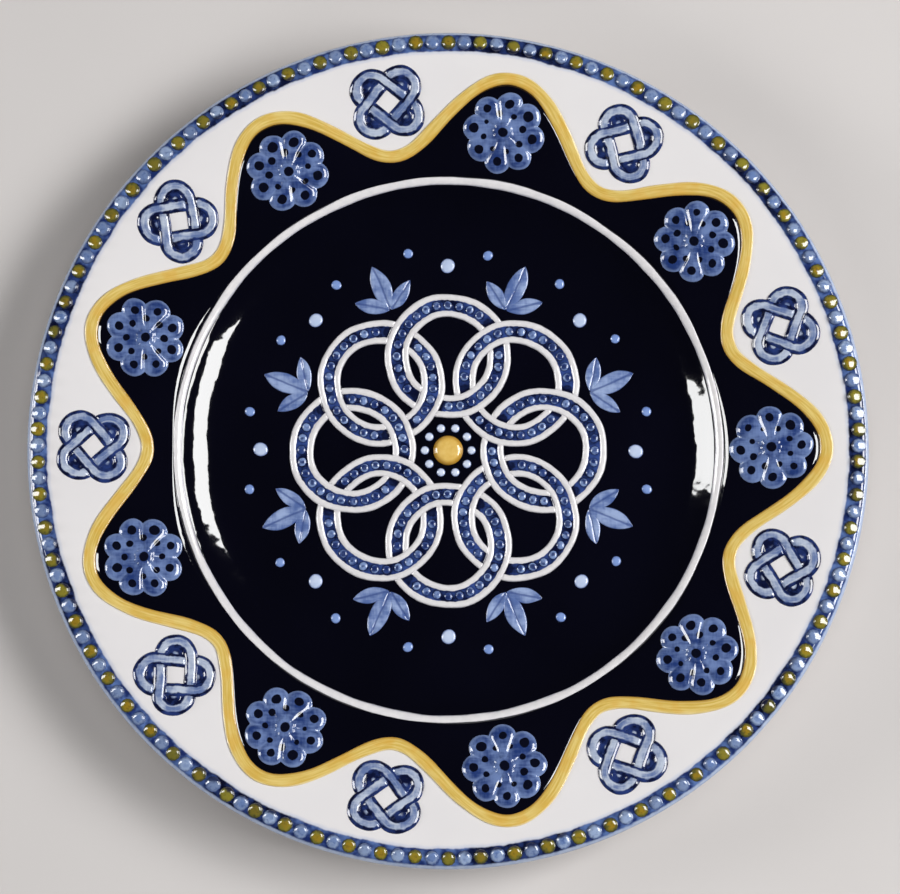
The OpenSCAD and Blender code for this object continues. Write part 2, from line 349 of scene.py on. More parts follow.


# %% [markdown]
# A colour is chosen as it looks on screen, but a shader works with light, so it is converted. A finished
# piece is seated: it gets its glaze, hangs under the root, and hides the solids that it stands for.

# %% Paint a colour and seat a piece
def paint(red, green, blue):
    """A colour as it looks on screen, 0 to 255, as light."""
    shares = [channel / 255 for channel in (red, green, blue)]
    return (*[s / 12.92 if s <= 0.04045 else ((s + 0.055) / 1.055) ** 2.4 for s in shares], 1)


def seat(piece, material, slot, *nodes):
    """Gives a finished piece its glaze, hangs it under the root, and hides the solids that it stands for."""
    piece.data.materials.clear()
    piece.data.materials.append(material)
    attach(piece, "root")
    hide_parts(*nodes)
    triangles = sum(len(face.vertices) - 2 for face in piece.data.polygons)
    print(f"{piece.name}: {triangles} triangles, for {', '.join(nodes)}")


def seat_all(pieces, material, slot, node):
    for i, piece in enumerate(pieces, 1):
        seat(piece, material, slot, f"{node}_{i}")


# %% [markdown]
# The shell is the clay body, floor to lip. It is a turned form, so a section is traced and spun, as on a
# wheel. The under side is the same section, one wall lower, which keeps the wall even where a scaled copy
# would not.

# %% Turn the shell
floor_steps = 4
arc_steps = 14
rim_steps = 5
shell_steps = 288


def arc(middle, rad, start, end):
    """Points along an arc after its first, for directions that turn from straight down towards +x."""
    turns = [start + (end - start) * i / arc_steps for i in range(1, arc_steps + 1)]
    return [middle + rad * at(sin(a), -cos(a)) for a in turns]


def upper_side(lift):
    """Points of the section from the middle to the lip, lifted square to it."""
    floor = [at(floor_r * i / floor_steps, floor_z + lift) for i in range(floor_steps + 1)]
    cove = arc(cove_c, cove_rad - lift, 0, wall_slope)
    shoulder = arc(shoulder_c, -shoulder_rad - lift, wall_slope, rim_slope)
    rim_start = shoulder[-1]
    rim_stop = lip_c + (lip_rad + lift) * rim_normal
    rim = [rim_start.lerp(rim_stop, i / rim_steps) for i in range(1, rim_steps + 1)]
    return floor + cove + shoulder + rim


lip = arc(lip_c, -lip_rad, rim_slope, rim_slope - pi)
shell = lathe("shell", upper_side(0) + lip + upper_side(-wall_t)[::-1], shell_steps)

# %% [markdown]
# The plate stands on its foot ring, trimmed out of the thick floor with a turning tool. A torus would be
# round all over, so a section with a flat land and rounded edges is spun instead.

# %% Turn the foot ring
foot_r = 49 * MM
foot_land_half = 1.2 * MM
foot_edge_rad = 0.8 * MM
foot_root_half = 3 * MM

foot_edge_c = at(foot_r + foot_land_half, foot_edge_rad)
outer_edge = [at(foot_edge_c.x, 0)] + arc(foot_edge_c, foot_edge_rad, 0, pi / 2)
outer_side = outer_edge + [at(foot_r + foot_root_half, foot_h), at(foot_r + foot_root_half, foot_h + coat_t)]
inner_side = [at(2 * foot_r - point.x, point.z) for point in reversed(outer_side)]
foot = lathe("foot", outer_side + inner_side, shell_steps, closed=True)

# %% [markdown]
# White glaze covers the shell, with a blue wash under the beads and a pale line where it ran thin on the lip.
# A painted image would blur close up; noise over the distance from the middle is ragged like a brush at any
# size. The foot's land is wiped bare, or it would stick in the kiln.

# %% Mix the white glaze and the bare clay
def near_crest(glaze):
    """1 where a crest of the wavy ribbon comes near the edge, 0 between the crests."""
    x, y, _ = glaze.parts(glaze.spot)
    wave = glaze.math("COSINE", glaze.math("ARCTAN2", y, x) * waves)
    return glaze.soft(wave + (glaze.noise(7) - 0.5) * 1.2, 0.1, 0.8)


# Where each mark starts and is full, in millimetres out from the middle or up from the table.
upper_side_z = (16.6, 17.4)
lip_line_r = (103.9, 104.4)
lip_line_z = (14.6, 15.6)
bare_land_z = (0.7, 1.1)


def white_glaze():
    glaze = Glaze("white_glaze")
    x, y, z = glaze.parts(glaze.spot)
    r = (x * x + y * y) ** 0.5
    cloud = glaze.noise(22)
    fine = glaze.noise(1.6)
    white = glaze.mix(cloud, paint(220, 217, 218), paint(229, 226, 226))
    brushed = r + (fine - 0.5) * 0.5 + (glaze.noise(6) - 0.5) - bead_in_r / MM
    upper = glaze.soft(z, *upper_side_z)
    bled = glaze.mix(glaze.soft(brushed, -1.6, -0.5) * upper * 0.4, white, paint(150, 168, 206))
    cloudy = glaze.soft(glaze.noise(2.4), 0.35, 0.7)
    washed_band = glaze.mix(cloudy, paint(28, 44, 98), paint(88, 114, 168))
    flooded_band = glaze.mix(cloudy, paint(8, 12, 38), paint(40, 58, 112))
    band = glaze.mix(near_crest(glaze), washed_band, flooded_band)
    washed = glaze.mix(glaze.soft(brushed, -0.7, -0.25) * upper, bled, band)
    lip_line = glaze.soft(r + (fine - 0.5) * 0.5, *lip_line_r) * glaze.soft(z, *lip_line_z)
    colour = glaze.mix(lip_line, washed, glaze.mix(fine, paint(128, 148, 190), paint(184, 196, 216)))
    return glaze.finish(colour, (glaze.noise(9) - 0.5) * 0.04)


def bare_clay():
    glaze = Glaze("bare_clay", ior=1.5)
    z = glaze.parts(glaze.spot)[2]
    grit = glaze.noise(0.5, 4)
    bare = 1 - glaze.soft(z + (grit - 0.5) * 0.5, *bare_land_z)
    clay = glaze.mix(grit, paint(196, 180, 160), paint(226, 214, 198))
    glaze.feed(glaze.shader.inputs["Roughness"], 0.1 + bare * 0.7)
    return glaze.finish(glaze.mix(bare, paint(228, 224, 224), clay), grit * bare * 0.05)


seat(shell, white_glaze(), "white_glaze", "plate_body")
seat(foot, bare_clay(), "bare_clay", "foot_ring")

# %% [markdown]
# Navy glaze is flooded into the well. It could be a colour on the shell, but a flood is thick enough to have
# an edge, so it is a thin skin of its own, spun from the same section and sunk so that no edge floats.

# %% Flood the well
line_w = 2.2 * MM
line_h = 0.6 * MM
line_slope = (wall_slope + rim_slope) / 2
line_normal = at(-sin(line_slope), cos(line_slope))
line_pos = shoulder_c + shoulder_rad * line_normal
line_in_r = line_pos.x - line_w / 2 * cos(line_slope)
line_out_r = line_pos.x + line_w / 2 * cos(line_slope)
sink = 0.4 * MM
tuck = 0.4 * MM

inner_coat = [point for point in upper_side(coat_t) if point.x < line_in_r]
inner_edge = at(line_in_r + tuck, top_z(line_in_r + tuck, coat_t / 2))
under_coat = [at(point.x, point.z - coat_t - sink) for point in reversed(inner_coat)]
coat_steps = 192
well_coat = lathe("well_flood", inner_coat + [inner_edge] + under_coat, coat_steps)

# %% [markdown]
# The bays of the rim next to the well get the same coat. A boolean would cut its wavy edge raggedly. The coat
# is spun as a plain ring instead, and its points are moved out to the wave that the ribbon will cover.

# %% Flood the bays of the rim
ribbon_w = 3.2 * MM
ribbon_margin = 4.5 * MM
wave_mid_r = (line_out_r + bead_in_r) / 2
wave_swing = (bead_in_r - line_out_r - ribbon_w) / 2 - ribbon_margin


def wave_point(turn, side):
    """A point of the wavy line at an angle, moved square to the line."""
    r = wave_mid_r + wave_swing * cos(waves * turn)
    climb = -wave_swing * waves * sin(waves * turn)
    out = Vector((cos(turn), sin(turn)))
    along = Vector((-sin(turn), cos(turn)))
    return r * out + side * (r * out - climb * along).normalized()


ring_in_r = line_out_r - tuck
ring_steps = 10
ring_top = [at(ring_in_r + (wave_mid_r - ring_in_r) * i / ring_steps, coat_t) for i in range(ring_steps + 1)]
ring_under = [at(point.x, -sink) for point in reversed(ring_top)]
steps_per_wave = 40
rim_coat = lathe("rim_flood", ring_top + ring_under, waves * steps_per_wave, closed=True)


def to_wave(x, y, z):
    """Moves a point of the plain ring out towards the wave, and up onto the rim."""
    turn = atan2(y, x)
    share = (hypot(x, y) - ring_in_r) / (wave_mid_r - ring_in_r)
    inner = ring_in_r * Vector((cos(turn), sin(turn)))
    spot = inner.lerp(wave_point(turn, tuck - ribbon_w / 2), share)
    return Vector((*spot, top_z(spot.length, z)))


move_points(rim_coat, to_wave)

# %% [markdown]
# The navy is nearly black and the glossiest glaze here. Glaze runs as it melts, so low broad bumps bend what
# it mirrors; without them it would look like plastic.

# %% Mix the navy glaze
def navy_glaze():
    glaze = Glaze("navy_glaze", 0.05, 1.8)
    colour = glaze.mix(glaze.noise(30), paint(2, 2, 9), paint(6, 6, 19))
    return glaze.finish(colour, glaze.noise(12) * 0.3, glaze.noise(3.5) * 0.03)


navy = navy_glaze()
seat(well_coat, navy, "navy_glaze", "well_coat")
seat(rim_coat, navy, "navy_glaze", "rim_coat")

# %% [markdown]
# A line of white slip runs round the shoulder of the well, trailed from a nozzle. A bevelled curve would be
# even all along. A half-round section is spun instead, and its points are moved so that it swells and strays.

# %% Trail the white line
half_round_steps = 10


def half_round(half_w, height, roundness):
    """Points across a half-round, boxier for a smaller roundness, with feet sunk into what is under it."""
    turns = [pi * (1 - i / half_round_steps) for i in range(half_round_steps + 1)]
    crown = [at(half_w * cos(a), height * sin(a) ** roundness) for a in turns[1:-1]]
    low = -sink - coat_t
    return [at(-half_w, low), at(-half_w, 0)] + crown + [at(half_w, 0), at(half_w, low)]


line_roundness = 0.6
line_swell = 0.12
line_stray = 0.16 * MM
line_steps = 360
tilt = Matrix.Rotation(-line_slope, 3, "Y")
line_section = [line_pos + tilt @ point for point in half_round(line_w / 2, line_h, line_roundness)]
well_line = lathe("well_line_slip", line_section, line_steps, closed=True)
mark(well_line, "across", lambda x, y, z: (hypot(x, y) - line_pos.x) / (line_w / 2))


def trail(x, y, z):
    """Lets the line swell and stray, and keeps it on the slope of the shoulder."""
    turn = atan2(y, x)
    r = hypot(x, y)
    wide = 1 + line_swell * waver(2 * turn, 1.3)
    new_r = line_pos.x + (r - line_pos.x) * wide + line_stray * waver(turn, 0.4)
    shift = (new_r - r) * tan(line_slope)
    return Vector((new_r * cos(turn), new_r * sin(turn), z + shift))


move_points(well_line, trail)

# %% [markdown]
# Slip is clay thinned with water, duller than glaze, and greyer where it touches the navy. Each point
# remembers how far across the line it lies, and the glaze reads that, so the edges stay grey however the line
# wavers.

# %% Mix the white slip
def white_slip():
    glaze = Glaze("white_slip", 0.12)
    slip = glaze.mix(glaze.noise(1.8, 3), paint(208, 206, 209), paint(234, 231, 231))
    away = glaze.math("ABSOLUTE", glaze.stored("across")) + (glaze.noise(1.5) - 0.5) * 0.5
    colour = glaze.mix(glaze.soft(away, 0.6, 1.0) * 0.55, slip, paint(126, 130, 156))
    return glaze.finish(colour, glaze.noise(1.5) * 0.04)


seat(well_line, white_slip(), "white_slip", "well_line")

# %% [markdown]
# A yellow ribbon winds round the rim in nine waves and parts navy bays from white ones. It is one brush
# stroke of stain over slip. Like the coat under it, it is spun as a ring and moved out to the wave, which
# keeps clean rows of faces along the stroke.

# %% Brush the ribbon
ribbon_h = 0.5 * MM
ribbon_roundness = 0.35
ribbon_swell = 0.1
ribbon_stray = 0.15 * MM
ribbon_steps = waves * 64
ribbon_top = half_round(ribbon_w / 2, ribbon_h, ribbon_roundness)
ribbon = lathe("ribbon", [at(wave_mid_r, 0) + point for point in ribbon_top], ribbon_steps, closed=True)
mark(ribbon, "across", lambda x, y, z: (hypot(x, y) - wave_mid_r) / (ribbon_w / 2))


def wind(x, y, z):
    """Moves a point of the plain ring to its side of the wave, with a stroke that swells and strays."""
    turn = atan2(y, x)
    wide = 1 + ribbon_swell * waver(3 * turn, 2.0)
    side = (hypot(x, y) - wave_mid_r) * wide + ribbon_stray * waver(2 * turn, 0.9)
    spot = wave_point(turn, side)
    return Vector((*spot, top_z(spot.length, z)))


move_points(ribbon, wind)

# %% [markdown]
# The stain shows one loaded brush: streaks run along it, one side is dark where the colour settled, the other
# thin. Plain noise would look like cloud, so it is laid out by the angle round the plate and the distance
# across.

# %% Mix the yellow stain
def yellow_stain():
    glaze = Glaze("yellow_stain", 0.1)
    x, y, _ = glaze.parts(glaze.spot)
    across = glaze.stored("across")
    turn = glaze.math("ARCTAN2", y, x)
    stroke = glaze.node("ShaderNodeCombineXYZ", sockets={0: turn * 9, 1: across * 2.2})
    streak = glaze.noise(0.6, 3, stroke)
    pool = glaze.soft(glaze.noise(5), 0.45, 0.7)
    middle = glaze.mix(glaze.soft(streak, 0.3, 0.7), paint(204, 169, 76), paint(224, 199, 120))
    pooled = glaze.mix(pool * 0.5, middle, paint(214, 164, 66))
    dark_side = glaze.soft((streak - 0.5) * 0.6 - across, 0.55, 0.95)
    pale_side = glaze.soft((streak - 0.5) * 0.6 + across, 0.6, 1.0)
    thinned = glaze.mix(pale_side * 0.6, pooled, paint(230, 214, 166))
    colour = glaze.mix(dark_side * 0.8, thinned, paint(172, 126, 40))
    return glaze.finish(colour, streak * 0.05)


seat(ribbon, yellow_stain(), "yellow_stain", "rim_ribbon")

# %% [markdown]
# Beads stand round the edge, pale blue and ochre in turn, 78 of each. One is a low sphere bisected below, and
# Spin's own duplicates make the rest, where an array would need an empty. A rule then melts each into a drop
# of its own.

# %% Press the beads round the edge
bead_pairs = 78
bead_h = 1.1 * MM
bead_sink = 0.5 * MM
bead_level = 0.62
bead_lean = 0.5
bead_size, bead_size_spread = 1.04, 0.05
bead_stray_out, bead_stray_along = 0.1 * MM, 0.16 * MM
bead_rise_spread = 0.16
dome_rings = 8


def dome(name, half_w, height, spot, segments=12, depth=0.3 * MM):
    """A low round bead that stands at a spot and goes a little into what is under it."""
    select_nothing()
    bpy.ops.mesh.primitive_uv_sphere_add(segments=segments, ring_count=dome_rings, radius=half_w)
    piece = added(name)
    bpy.ops.object.mode_set(mode="EDIT")
    bpy.ops.transform.resize(value=(1, 1, height / half_w), center_override=(0, 0, 0))
    bpy.ops.mesh.bisect(plane_co=(0, 0, -depth), plane_no=(0, 0, 1), use_fill=True, clear_inner=True,
                        threshold=merge_gap)
    bpy.ops.mesh.select_all(action="SELECT")
    bpy.ops.transform.translate(value=spot)
    return piece


def repeat_round(copies, centre=(0, 0, 0)):
    last_turn = 2 * pi * (copies - 1) / copies
    bpy.ops.mesh.spin(steps=copies - 1, dupli=True, angle=last_turn, center=centre, axis=(0, 0, 1))


def bead_row(name):
    row = dome(name, bead_half, bead_h, at(bead_circle_r, top_z(bead_circle_r)), depth=bead_sink)
    repeat_round(bead_pairs)
    close_up()
    print(f"{name}: {bead_pairs} beads")
    return row


def uneven(x, y, z):
    """Melts each bead into a low drop that leans out over the edge, no two alike."""
    number = round(atan2(y, x) * bead_pairs / pi)
    turn = number * pi / bead_pairs
    out = Vector((cos(turn), sin(turn), 0))
    middle = bead_circle_r * out + Vector((0, 0, top_z(bead_circle_r)))
    along = Vector((-sin(turn), cos(turn), 0))
    # Sines of uneven multiples of a bead's number look random, and come out the same each time.
    size = bead_size + bead_size_spread * sin(12.9 * number)
    shift = bead_stray_out * sin(7.7 * number) * out + bead_stray_along * sin(5.3 * number) * along
    off = Vector((x, y, z)) - middle
    spot = middle + off * size + shift
    rise = off.z / bead_h
    if rise > 0:
        flat_top = 1 - (1 - rise * rise) ** 2
        slope = bead_level - bead_lean * off.dot(out) / bead_half
        rise = flat_top * slope * (1 + bead_rise_spread * sin(9.1 * number))
    return Vector((spot.x, spot.y, middle.z + rise * bead_h))


pale_beads = bead_row("pale_beads")
ochre_first = bead_row("ochre_first")
ochre_beads = copy_turned(ochre_first, "ochre_beads", pi / bead_pairs)
bpy.data.objects.remove(ochre_first)
for row in (pale_beads, ochre_beads):
    mark(row, "crown", lambda x, y, z: max(0, (z - top_z(bead_circle_r)) / bead_h) ** 1.6)
    move_points(row, uneven)

# %% [markdown]
# Each bead was dabbed with a brush, so no two match, and some took navy from the bays. A material for each
# would be long. One glaze numbers the beads by their angle and draws each a shade of its own, and a height
# stored before the melting keeps the light dab on top.

# %% Mix the two bead glazes
bead_flooded_r = (101.1, 102.1)
crown_h = 0.88


def bead_glaze(name, deep, light, core):
    """Light on top of a bead and deep round its foot, no two alike."""
    glaze = Glaze(name, 0.06)
    x, y, _ = glaze.parts(glaze.spot)
    r = (x * x + y * y) ** 0.5
    one = glaze.math("FLOOR", glaze.math("ARCTAN2", y, x) * (bead_pairs / pi) + 0.5)
    own = glaze.node("ShaderNodeTexWhiteNoise", {"noise_dimensions": "1D"}, {"W": one})
    other = glaze.node("ShaderNodeTexWhiteNoise", {"noise_dimensions": "1D"}, {"W": one + 0.5})
    height = glaze.stored("crown") * crown_h
    mottle = (glaze.noise(1.2, 3) - 0.5) * 1.4
    crown = glaze.soft(height + mottle * 0.6, -0.05, 0.65)
    body = glaze.mix(crown * (0.45 + own * 0.55), deep, light)
    cored = glaze.mix(glaze.soft(height + mottle * 0.8, 0.5, 0.8) * other, body, core)
    flooded = 1 - glaze.soft(r + (glaze.noise(2.5) - 0.5) * 3 + other * 0.8, *bead_flooded_r)
    streaked = glaze.mix(glaze.soft(glaze.noise(0.8), 0.5, 0.75) * 0.5, cored, deep)
    share = flooded * (0.25 + near_crest(glaze) * 0.65)
    return glaze.finish(glaze.mix(share, streaked, paint(16, 22, 58)), mottle * 0.03)


pale_glaze = bead_glaze("pale_blue_bead", paint(50, 72, 124), paint(158, 176, 206), paint(102, 126, 174))
ochre_glaze = bead_glaze("ochre_bead", paint(40, 45, 38), paint(140, 132, 48), paint(150, 122, 34))
seat(pale_beads, pale_glaze, "pale_blue_bead", "edge_beads_pale")
seat(ochre_beads, ochre_glaze, "ochre_bead", "edge_beads_ochre")

# %% [markdown]
# Nine flowers lie in the navy bays, pressed in a mould. A flower is a disc of many points whose face is
# extruded and narrowed ring by ring. Separate petals would need joining, so a rule draws the rings out to
# eight petals and presses a groove between each two.

# %% Press one flower
petals = 8
petal_step = 2 * pi / petals
petal_roundness = 1.3
groove_depth = 0.3 * MM
groove_half = 0.6 * MM
petal_fall = 0.1 * MM
groove_share = (0.26, 0.45)
groove_z = (0.1 * MM, 0.6 * MM)
flower_points = 128
motif_gap = 1.5 * MM
bay_depth = 2 * wave_swing + ribbon_margin
bay_width = pi * wave_mid_r / waves - ribbon_w
motif_r = min(bay_depth, bay_width) / 2 - motif_gap
petal_share = sin(pi / petals) * petal_roundness
petal_pos_r = motif_r / (1 + petal_share)
petal_rad = motif_r - petal_pos_r


def raised_disc(name, rings, points, full_r, unit=MM):
    """A button: a disc whose face is extruded and narrowed to each (share of full_r, units high) in turn."""
    select_nothing()
    rings = [(full_r * share, unit * height) for share, height in rings]
    radius, height = rings[0]
    bpy.ops.mesh.primitive_circle_add(vertices=points, radius=radius, fill_type="NGON")
    piece = added(name)
    bpy.ops.object.mode_set(mode="EDIT")
    bpy.ops.transform.translate(value=(0, 0, height))
    for new_radius, new_height in rings[1:]:
        extrude((0, 0, new_height - height))
        narrow = new_radius / radius
        bpy.ops.transform.resize(value=(narrow, narrow, 1), center_override=(0, 0, 0))
        radius, height = new_radius, new_height
    bpy.ops.mesh.poke()
    close_up()
    return piece


def petal_reach(turn):
    """How far the outline of the petals lies from the middle of a flower."""
    off = (turn + petal_step / 2) % petal_step - petal_step / 2
    return petal_pos_r * cos(off) + sqrt(petal_rad ** 2 - (petal_pos_r * sin(off)) ** 2)


def petal_shape(x, y, z):
    """Draws a ring of the disc out to the petals, and lets it fall towards the groove between them."""
    turn = atan2(y, x)
    share = hypot(x, y) / motif_r
    off = abs((turn % petal_step) - petal_step / 2)
    reach = share * petal_reach(turn)
    groove = groove_depth * exp(-(reach * off / groove_half) ** 2)
    fall = petal_fall * (1 - off / (petal_step / 2)) ** 2
    depth = (groove + fall) * ease(share, *groove_share) * ease(z, *groove_z)
    return Vector((reach * cos(turn), reach * sin(turn), z - depth))


flower_rings = [(1, -0.5), (1, 0.12), (0.98, 0.3), (0.955, 0.46), (0.925, 0.61), (0.89, 0.73), (0.85, 0.81),
                (0.79, 0.87), (0.7, 0.93), (0.59, 1.0), (0.48, 1.06), (0.38, 1.11), (0.29, 1.15), (0.245, 1.18),
                (0.235, 1.28), (0.21, 1.38), (0.16, 1.45), (0.08, 1.49)]
flower = raised_disc("flower", flower_rings, flower_points, motif_r)
move_points(flower, petal_shape)
mark_flat(flower)
print(f"a flower {2 * motif_r / MM:.1f} mm wide")

# %% [markdown]
# Motifs are set by hand, so none is quite straight. Placing copies by eye can't be repeated, so one function
# tilts each to the rim, turns it to its bay, and adds a small twist and shift.

# %% Set the flowers round the rim
wave_pitch = 2 * pi / waves
most_askew = radians(5)


def set_round_rim(motif, r, first_turn, lift):
    """Lays copies of a flat motif round the rim, each a little askew."""
    pieces = []
    for i in range(waves):
        piece = copy_turned(motif, f"{motif.name}_{i + 1}", 0)
        askew = Matrix.Rotation(most_askew * sin(2.4 * i + 1), 4, "Z")
        tilted = Matrix.Translation(at(r, rim_z(r))) @ Matrix.Rotation(-rim_slope, 4, "Y")
        turned = Matrix.Rotation(first_turn + wave_pitch * i, 4, "Z")
        piece.matrix_world = turned @ tilted @ Matrix.Translation((0, 0, lift)) @ askew
        settle(piece)
        move_points(piece, by_hand)
        pieces.append(piece)
    bpy.data.objects.remove(motif)
    return pieces


flowers = set_round_rim(flower, line_out_r + bay_depth / 2, 0, coat_t)

# %% [markdown]
# The flowers are washed in thin blue and dotted with a dark brush. Two noises stretched across each other
# look like crossing strokes. The dots are only colour, so they are measured from where each point lay when
# the flower was flat, and fall on the same petals of all nine.

# %% Mix the blue wash and its dark dots
petal_dot_pos_r, petal_dot_r = 7.4, 1.15
groove_dot_pos_r, groove_dot_r = 4.9, 0.8
middle_dot = (1.1, 1.35)
dot_blur = 0.08


def brush_wash(glaze, deep, light):
    """A thin wash of blue in crossing brush strokes, with clouds where it pooled."""
    cloud = glaze.noise(4.5)
    strokes = glaze.noise(1, vector=glaze.stretch(0.35, 1.8, 1))
    crossed = glaze.noise(1, vector=glaze.stretch(1.8, 0.35, 1))
    share = glaze.soft(cloud * 0.8 + strokes * 0.25 + crossed * 0.2, 0.46, 0.8)
    return glaze.mix(share, deep, light)


def dots_in_ring(glaze, x, y, ring_r, dot_r, off=0.0):
    """1 inside dots that are spaced like the petals, 0 outside them."""
    half = petal_step / 2
    turn = glaze.math("FLOORED_MODULO", glaze.math("ARCTAN2", y, x) + (half - off), petal_step) - half
    r = (x * x + y * y) ** 0.5
    dx = r * glaze.math("COSINE", turn) - ring_r
    dy = r * glaze.math("SINE", turn)
    away = (dx * dx + dy * dy) ** 0.5
    return 1 - glaze.soft(away, dot_r - dot_blur, dot_r + dot_blur)


def flower_glaze():
    glaze = Glaze("flower_blue", 0.08)
    x, y, z = glaze.parts(glaze.stored("flat", "Vector"))
    ragged = (glaze.noise(2.2) - 0.5) * 0.4
    swell = (glaze.noise(8) - 0.5) * 1.5
    wash = brush_wash(glaze, paint(34, 55, 110), paint(106, 127, 174))
    rim = glaze.mix((1 - glaze.soft(z + ragged * 0.3, 0.3, 0.7)) * 0.6, wash, paint(124, 144, 188))
    big = dots_in_ring(glaze, x + ragged, y + ragged, petal_dot_pos_r, petal_dot_r + swell)
    small = dots_in_ring(glaze, x + ragged, y - ragged, groove_dot_pos_r, groove_dot_r + swell, petal_step / 2)
    middle = 1 - glaze.soft((x * x + y * y) ** 0.5 + ragged, *middle_dot)
    dark = glaze.math("MAXIMUM", glaze.math("MAXIMUM", big, small), middle)
    colour = glaze.mix(dark, rim, paint(8, 10, 26))
    return glaze.finish(colour, glaze.noise(2) * 0.03)


seat_all(flowers, flower_glaze(), "mid_blue_glaze", "rim_flower")

# %% [markdown]
# Nine knots lie in the white bays, each of two long loops that cross over and under in turn. A bevelled curve
# would give a plain tube. A low section is extruded along one side and spun round the end, twice, and sinks
# where it goes under the other strap.

# %% Weave the knots
knot_half_w = 1.7 * MM
knot_mid = 3.8 * MM
knot_end = motif_r - knot_mid - knot_half_w
knot_sink = 1.0 * MM
under_from = 0.7 * MM
under_to = 0.1 * MM
side_steps = 26
end_steps = 22
knot_profile = [(1, -0.7), (1, 0.12), (0.86, 0.31), (0.7, 0.47), (0.54, 0.59), (0.37, 0.67), (0.2, 0.71)]
knot_side = [at(share * knot_half_w, height * MM) for share, height in knot_profile]
knot_top = [at(0, 0.72 * MM)]
knot_section = knot_side + knot_top + [at(-point.x, point.z) for point in reversed(knot_side)]


def knot_loop(name):
    section = [Vector((-knot_end, -knot_mid + point.x, point.z)) for point in knot_section]
    loop = draw_chain(name, section, closed=True)
    for way in (1, -1):
        for _ in range(side_steps):
            extrude((way * 2 * knot_end / side_steps, 0, 0))
        bpy.ops.mesh.spin(steps=end_steps, angle=-pi, center=(way * knot_end, 0, 0), axis=(0, 0, 1))
    close_up()
    return loop


def knot_across(x, y, z):
    """Distance from the middle of the strap, as a share of half its width."""
    past_end = max(0, abs(x) - knot_end)
    return (hypot(past_end, y) - knot_mid) / knot_half_w


def weave(x, y, z):
    """Sinks a loop where it goes under the other one."""
    under = x * y > 0 and abs(y) > knot_mid - 2 * knot_half_w
    if not under:
        return Vector((x, y, z))
    near = 1 - ease(abs(abs(x) - knot_mid), knot_half_w - under_from, knot_half_w + under_to)
    return Vector((x, y, z - knot_sink * near))


loops_of_knot = []
for name, turn in (("knot", -pi / 4), ("other_loop", pi / 4)):
    loop = knot_loop(name)
    mark(loop, "across", knot_across)
    move_points(loop, weave)
    mark_flat(loop)
    loop.rotation_euler.z = turn
    settle(loop)
    loops_of_knot.append(loop)

# %% [markdown]
# A brush leaves dark glaze in the four ends of the loops. Painted on the plate, the pools would have to
# follow each knot; as low discs they are part of it and are copied with it.

# %% Pool glaze in the ends of the loops and copy the knot
pool_r = knot_mid - knot_half_w
pool_pos_r = knot_end + 0.25 * pool_r
pool_points = 32
pool_rings = [(1, -0.4), (1, 0.1), (0.7, 0.14), (0.4, 0.14), (0.15, 0.14)]
pools = []
for k in range(4):
    pool = raised_disc(f"pool_{k}", pool_rings, pool_points, pool_r)
    mark(pool, "across", lambda x, y, z: 0.35 + 0.65 * hypot(x, y) / pool_r)
    turn = (k + 0.5) * pi / 2
    pool.location = pool_pos_r * Vector((cos(turn), sin(turn), 0))
    settle(pool)
    pools.append(pool)
knot = join(loops_of_knot + pools)
knots = set_round_rim(knot, bead_in_r - bay_depth / 2, wave_pitch / 2, 0)

# %% [markdown]
# The straps are washed pale and outlined with a fine brush. Drawn as lines, the outline would part from a
# strap that dives. Mixed from the distance stored across the strap, it follows every turn.

# %% Mix the knots' glaze
def knot_glaze():
    glaze = Glaze("knot_blue", 0.07)
    across = glaze.stored("across")
    ragged = (glaze.noise(1.5) - 0.5) * 0.5
    away = glaze.math("ABSOLUTE", across) + ragged
    wash = brush_wash(glaze, paint(96, 115, 160), paint(182, 192, 210))
    stroke = glaze.node("ShaderNodeCombineXYZ", sockets={0: across * 3.5, 1: glaze.noise(9) * 5})
    streak = glaze.soft(glaze.noise(1, vector=stroke), 0.5, 0.75)
    streaked = glaze.mix(streak * 0.7, wash, paint(208, 213, 221))
    outline = glaze.soft(away, 0.4, 0.6)
    deep = glaze.mix(glaze.soft(glaze.noise(2.5), 0.35, 0.7), paint(12, 18, 50), paint(38, 56, 112))
    colour = glaze.mix(outline, streaked, deep)
    return glaze.finish(colour, glaze.noise(1.6) * 0.03)


seat_all(knots, knot_glaze(), "line_blue_glaze", "rim_knot")

# %% [markdown]
# The well carries a medallion of eight interlaced rings, each a strap with a white trailed line along both
# sides and a blue channel between. They could be three rings, but slip runs together, so one section with two
# crests is spun about the ring's own middle.

# %% Trail one ring of the medallion
rings = 8
ring_step = 2 * pi / rings
strap_half = 2.95 * MM
strap_line_half = 0.8 * MM
strap_line_h = 0.62 * MM
strap_line_pos = strap_half - strap_line_half
channel_h = 0.35 * MM
boss_half = 3.75 * MM
boss_gap = 1.0 * MM
pearl_half = 1.1 * MM
pearl_h = 0.45 * MM
medallion_r = 40 * MM
hub_r = boss_half + 2 * pearl_half + 2 * boss_gap
ring_out = (medallion_r - hub_r) / 2
ring_pos_r = hub_r + ring_out
ring_mid = ring_out - strap_half
ring_c = at(ring_pos_r, 0)
ring_pearls = 28
strap_roundness = 0.38
strap_steps = 44
spin_steps = 200


def strap_height(across):
    """Height of the strap's section: two half-round lines with a shallow channel between them."""
    off = (abs(across) - strap_line_pos) / strap_line_half
    line = strap_line_h * max(0, 1 - off * off) ** strap_roundness
    channel = channel_h if abs(across) < strap_line_pos else 0
    return max(line, channel)


strap_across = [strap_half * (2 * i / strap_steps - 1) for i in range(strap_steps + 1)]
strap_top = [at(across, strap_height(across)) for across in strap_across]
strap_feet = [at(side * strap_half, -sink - coat_t) for side in (1, -1)]
strap_place = ring_c + at(ring_mid, well_z)
strap_section = [strap_place + point for point in strap_top + strap_feet]
ring = lathe("ring_1", strap_section, spin_steps, closed=True, centre=ring_c)

